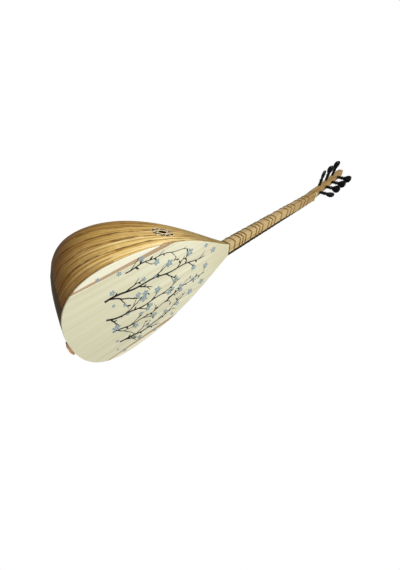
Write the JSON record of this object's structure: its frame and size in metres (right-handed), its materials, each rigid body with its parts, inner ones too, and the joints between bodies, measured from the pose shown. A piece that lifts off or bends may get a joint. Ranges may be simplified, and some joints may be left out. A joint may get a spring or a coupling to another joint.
{
  "type": "short-neck baglama",
  "caption": "Short-neck fretted lute: deep staved pear-shaped bowl, flat soundboard, pierced side rosette, slim neck with tied frets and turning friction pegs.",
  "frame": {"origin": "bridge seat: the point on the soundboard's front face where the bridge stands, on the centre line, one string length below the nut", "axes": "+Z along the neck from tail to head, -Y out of the soundboard, +X towards the treble side, away from the side pegs and the rosette"},
  "size_m": [0.259, 0.2731, 1.0492],
  "materials": {
    "stave_wood": "glossy clear lacquer over golden-brown figured wood",
    "cap_wood": "glossy lacquer over grey-brown wood",
    "spruce": "satin cream softwood with fine straight grain",
    "wedge_wood": "satin tan wood",
    "inner_wood": "raw sanded wood",
    "holder_wood": "satin orange-brown hardwood",
    "fretwork_wood": "satin pale wood",
    "veneer_wood": "satin dark brown veneer",
    "neck_wood": "satin tan hardwood",
    "nut_bone": "polished bone-like pale nut",
    "peg_black": "glossy near-black",
    "fret_nylon": "clear amber nylon line"
  },
  "bodies": {
    "lute": {"stave_01": "stave_wood", "stave_02": "stave_wood", "stave_03_tail": "stave_wood", "stave_03_neck": "stave_wood", "stave_04": "stave_wood", "stave_05": "stave_wood", "stave_06": "stave_wood", "stave_07": "stave_wood", "stave_08": "stave_wood", "stave_09": "stave_wood", "stave_10": "stave_wood", "stave_11": "stave_wood", "stave_12": "stave_wood", "stave_13": "stave_wood", "stave_14": "stave_wood", "stave_15": "stave_wood", "stave_16": "stave_wood", "stave_17": "stave_wood", "stave_18": "stave_wood", "stave_19": "stave_wood", "tail_cap": "cap_wood", "soundboard_middle": "spruce", "soundboard_wing_bass": "spruce", "soundboard_wing_treble": "spruce", "wedge_strip_bass": "wedge_wood", "wedge_strip_treble": "wedge_wood", "neck_block": "inner_wood", "tail_block": "inner_wood", "soundboard_brace": "inner_wood", "string_holder": "holder_wood", "rosette": "fretwork_wood", "joint_veneer": "veneer_wood", "neck": "neck_wood", "head": "neck_wood", "nut": "nut_bone"},
    "peg_front_1": {"peg_front_1": "peg_black"},
    "peg_front_2": {"peg_front_2": "peg_black"},
    "peg_front_3": {"peg_front_3": "peg_black"},
    "peg_front_4": {"peg_front_4": "peg_black"},
    "peg_side_1": {"peg_side_1": "peg_black"},
    "peg_side_2": {"peg_side_2": "peg_black"},
    "peg_side_3": {"peg_side_3": "peg_black"},
    "fret_01": {"fret_01": "fret_nylon"},
    "fret_02": {"fret_02": "fret_nylon"},
    "fret_03": {"fret_03": "fret_nylon"},
    "fret_04": {"fret_04": "fret_nylon"},
    "fret_05": {"fret_05": "fret_nylon"},
    "fret_06": {"fret_06": "fret_nylon"},
    "fret_07": {"fret_07": "fret_nylon"},
    "fret_08": {"fret_08": "fret_nylon"},
    "fret_09": {"fret_09": "fret_nylon"},
    "fret_10": {"fret_10": "fret_nylon"},
    "fret_11": {"fret_11": "fret_nylon"},
    "fret_12": {"fret_12": "fret_nylon"},
    "fret_13": {"fret_13": "fret_nylon"},
    "fret_14": {"fret_14": "fret_nylon"},
    "fret_15": {"fret_15": "fret_nylon"},
    "fret_16": {"fret_16": "fret_nylon"},
    "fret_17": {"fret_17": "fret_nylon"},
    "fret_18": {"fret_18": "fret_nylon"}
  },
  "joints": [
    {"name": "peg_front_1_turn", "type": "hinge", "parent": "lute", "child": "peg_front_1", "pos_m": [0, 0.00734, 0.74079], "axis": [-0.0872, -0.9904, 0.1076], "continuous": true},
    {"name": "peg_front_2_turn", "type": "hinge", "parent": "lute", "child": "peg_front_2", "pos_m": [-0.0015, 0.0122, 0.78552], "axis": [-0.0872, -0.9904, 0.1076], "continuous": true},
    {"name": "peg_front_3_turn", "type": "hinge", "parent": "lute", "child": "peg_front_3", "pos_m": [-0.0015, 0.01706, 0.83026], "axis": [-0.0872, -0.9904, 0.1076], "continuous": true},
    {"name": "peg_front_4_turn", "type": "hinge", "parent": "lute", "child": "peg_front_4", "pos_m": [-0.0025, 0.02192, 0.875], "axis": [-0.0872, -0.9904, 0.1076], "continuous": true},
    {"name": "peg_side_1_turn", "type": "hinge", "parent": "lute", "child": "peg_side_1", "pos_m": [-0.01228, 0.02308, 0.75668], "axis": [-1, 0, 0], "continuous": true},
    {"name": "peg_side_2_turn", "type": "hinge", "parent": "lute", "child": "peg_side_2", "pos_m": [-0.01199, 0.02804, 0.80583], "axis": [-1, 0, 0], "continuous": true},
    {"name": "peg_side_3_turn", "type": "hinge", "parent": "lute", "child": "peg_side_3", "pos_m": [-0.01169, 0.03299, 0.85498], "axis": [-1, 0, 0], "continuous": true},
    {"name": "fret_01_shift", "type": "slide", "parent": "lute", "child": "fret_01", "axis": [0, 0, 1], "range_m": [-0.003, 0.003]},
    {"name": "fret_02_shift", "type": "slide", "parent": "lute", "child": "fret_02", "axis": [0, 0, 1], "range_m": [-0.003, 0.003]},
    {"name": "fret_03_shift", "type": "slide", "parent": "lute", "child": "fret_03", "axis": [0, 0, 1], "range_m": [-0.003, 0.003]},
    {"name": "fret_04_shift", "type": "slide", "parent": "lute", "child": "fret_04", "axis": [0, 0, 1], "range_m": [-0.003, 0.003]},
    {"name": "fret_05_shift", "type": "slide", "parent": "lute", "child": "fret_05", "axis": [0, 0, 1], "range_m": [-0.003, 0.003]},
    {"name": "fret_06_shift", "type": "slide", "parent": "lute", "child": "fret_06", "axis": [0, 0, 1], "range_m": [-0.003, 0.003]},
    {"name": "fret_07_shift", "type": "slide", "parent": "lute", "child": "fret_07", "axis": [0, 0, 1], "range_m": [-0.003, 0.003]},
    {"name": "fret_08_shift", "type": "slide", "parent": "lute", "child": "fret_08", "axis": [0, 0, 1], "range_m": [-0.003, 0.003]},
    {"name": "fret_09_shift", "type": "slide", "parent": "lute", "child": "fret_09", "axis": [0, 0, 1], "range_m": [-0.003, 0.003]},
    {"name": "fret_10_shift", "type": "slide", "parent": "lute", "child": "fret_10", "axis": [0, 0, 1], "range_m": [-0.003, 0.003]},
    {"name": "fret_11_shift", "type": "slide", "parent": "lute", "child": "fret_11", "axis": [0, 0, 1], "range_m": [-0.003, 0.003]},
    {"name": "fret_12_shift", "type": "slide", "parent": "lute", "child": "fret_12", "axis": [0, 0, 1], "range_m": [-0.003, 0.003]},
    {"name": "fret_13_shift", "type": "slide", "parent": "lute", "child": "fret_13", "axis": [0, 0, 1], "range_m": [-0.003, 0.003]},
    {"name": "fret_14_shift", "type": "slide", "parent": "lute", "child": "fret_14", "axis": [0, 0, 1], "range_m": [-0.003, 0.003]},
    {"name": "fret_15_shift", "type": "slide", "parent": "lute", "child": "fret_15", "axis": [0, 0, 1], "range_m": [-0.003, 0.003]},
    {"name": "fret_16_shift", "type": "slide", "parent": "lute", "child": "fret_16", "axis": [0, 0, 1], "range_m": [-0.003, 0.003]},
    {"name": "fret_17_shift", "type": "slide", "parent": "lute", "child": "fret_17", "axis": [0, 0, 1], "range_m": [-0.003, 0.003]},
    {"name": "fret_18_shift", "type": "slide", "parent": "lute", "child": "fret_18", "axis": [0, 0, 1], "range_m": [-0.003, 0.003]}
  ]
}
